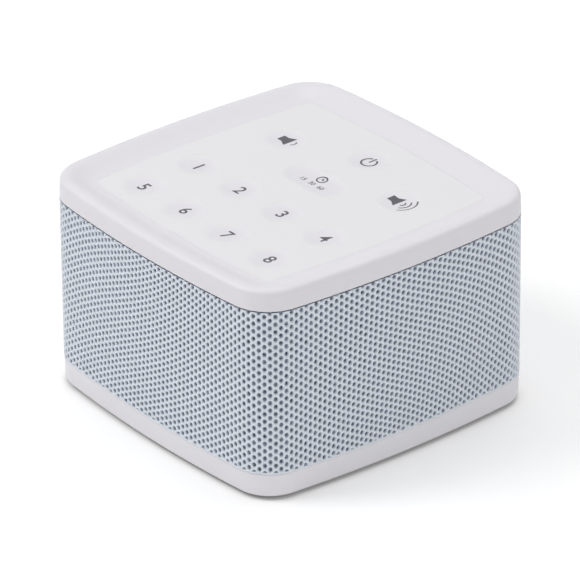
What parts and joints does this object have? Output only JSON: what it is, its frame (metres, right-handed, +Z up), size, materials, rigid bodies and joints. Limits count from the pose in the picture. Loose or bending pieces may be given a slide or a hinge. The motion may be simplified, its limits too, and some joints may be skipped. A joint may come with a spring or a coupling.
{
  "type": "white noise machine",
  "caption": "Bowed square sound machine with a recessed soft key panel on top, mesh fabric sides and a white base on low feet.",
  "frame": {"origin": "on the table surface, under the middle of the machine", "axes": "+Z up; -Y is the front, towards which the key symbols face; +X to the right seen from the front; the power inlet is at +Y"},
  "size_m": [0.11, 0.11, 0.07],
  "materials": {
    "white_shell": "fine satin moulding",
    "white_plastic": "plain moulding",
    "black_plastic": "plain moulding",
    "spacer_mesh": "knitted spacer mesh with round holes",
    "foot_rubber": "matt",
    "soft_panel": "soft matt membrane",
    "socket_steel": "plated",
    "board_green": "solder mask",
    "led_lens": "clear resin",
    "chip_black": "moulded resin",
    "can_aluminium": "drawn can",
    "connector_cream": "moulded nylon",
    "basket_steel": "pressed and painted",
    "foam_black": "matt",
    "surround_rubber": "matt",
    "cone_paper": "pressed pulp",
    "coil_copper": "enamelled copper wire",
    "spider_cloth": "treated cloth",
    "plated_steel": "zinc plated",
    "ferrite": "sintered",
    "terminal_board": "pressed board",
    "screw_steel": "zinc plated",
    "wire_sleeve": "soft sleeve",
    "symbol_ink": "printed"
  },
  "bodies": {
    "housing": {"amplifier_chip": "chip_black", "base_tray": "white_shell", "board_connectors": "connector_cream", "board_screws": "screw_steel", "cap_screws": "screw_steel", "capacitors": "can_aluminium", "case_screws": "screw_steel", "fabric_wrap": "spacer_mesh", "front_plate": "plated_steel", "grille_frame": "black_plastic", "key_carrier": "white_plastic", "key_panel": "soft_panel", "main_board": "board_green", "pole_piece": "plated_steel", "power_wires": "wire_sleeve", "ring_magnet": "ferrite", "rubber_feet": "foot_rubber", "sound_chip": "chip_black", "sound_deflector": "black_plastic", "speaker_basket": "basket_steel", "speaker_gasket": "foam_black", "speaker_screws": "screw_steel", "speaker_spider": "spider_cloth", "speaker_surround": "surround_rubber", "speaker_wires": "wire_sleeve", "switch_bodies": "black_plastic", "terminal_strip": "terminal_board", "timer_leds": "led_lens", "top_cap": "white_shell", "usb_board": "board_green", "usb_board_screws": "screw_steel", "usb_shell": "socket_steel", "usb_tongue": "black_plastic", "wire_grommet": "foam_black"},
    "cone": {"dust_cap": "cone_paper", "speaker_cone": "cone_paper", "voice_coil": "coil_copper"},
    "key_power": {"key_power": "soft_panel"},
    "key_sound_1": {"key_sound_1": "soft_panel"},
    "key_sound_2": {"key_sound_2": "soft_panel"},
    "key_sound_3": {"key_sound_3": "soft_panel"},
    "key_sound_4": {"key_sound_4": "soft_panel"},
    "key_sound_5": {"key_sound_5": "soft_panel"},
    "key_sound_6": {"key_sound_6": "soft_panel"},
    "key_sound_7": {"key_sound_7": "soft_panel"},
    "key_sound_8": {"key_sound_8": "soft_panel"},
    "key_timer": {"key_timer": "soft_panel"},
    "key_volume_down": {"key_volume_down": "soft_panel"},
    "key_volume_up": {"key_volume_up": "soft_panel"}
  },
  "joints": [
    {"name": "press_power", "type": "slide", "parent": "housing", "child": "key_power", "axis": [0, 0, -1], "range_m": [0, 0.0005], "stiffness_N_per_m": 1200},
    {"name": "press_sound_1", "type": "slide", "parent": "housing", "child": "key_sound_1", "axis": [0, 0, -1], "range_m": [0, 0.0005], "stiffness_N_per_m": 1200},
    {"name": "press_sound_2", "type": "slide", "parent": "housing", "child": "key_sound_2", "axis": [0, 0, -1], "range_m": [0, 0.0005], "stiffness_N_per_m": 1200},
    {"name": "press_sound_3", "type": "slide", "parent": "housing", "child": "key_sound_3", "axis": [0, 0, -1], "range_m": [0, 0.0005], "stiffness_N_per_m": 1200},
    {"name": "press_sound_4", "type": "slide", "parent": "housing", "child": "key_sound_4", "axis": [0, 0, -1], "range_m": [0, 0.0005], "stiffness_N_per_m": 1200},
    {"name": "press_sound_5", "type": "slide", "parent": "housing", "child": "key_sound_5", "axis": [0, 0, -1], "range_m": [0, 0.0005], "stiffness_N_per_m": 1200},
    {"name": "press_sound_6", "type": "slide", "parent": "housing", "child": "key_sound_6", "axis": [0, 0, -1], "range_m": [0, 0.0005], "stiffness_N_per_m": 1200},
    {"name": "press_sound_7", "type": "slide", "parent": "housing", "child": "key_sound_7", "axis": [0, 0, -1], "range_m": [0, 0.0005], "stiffness_N_per_m": 1200},
    {"name": "press_sound_8", "type": "slide", "parent": "housing", "child": "key_sound_8", "axis": [0, 0, -1], "range_m": [0, 0.0005], "stiffness_N_per_m": 1200},
    {"name": "press_timer", "type": "slide", "parent": "housing", "child": "key_timer", "axis": [0, 0, -1], "range_m": [0, 0.0005], "stiffness_N_per_m": 1200},
    {"name": "press_volume_down", "type": "slide", "parent": "housing", "child": "key_volume_down", "axis": [0, 0, -1], "range_m": [0, 0.0005], "stiffness_N_per_m": 1200},
    {"name": "press_volume_up", "type": "slide", "parent": "housing", "child": "key_volume_up", "axis": [0, 0, -1], "range_m": [0, 0.0005], "stiffness_N_per_m": 1200},
    {"name": "cone_stroke", "type": "slide", "parent": "housing", "child": "cone", "axis": [0, 0, 1], "range_m": [-0.001, 0.001], "stiffness_N_per_m": 1500, "deforming": ["speaker_surround", "speaker_spider"]}
  ]
}
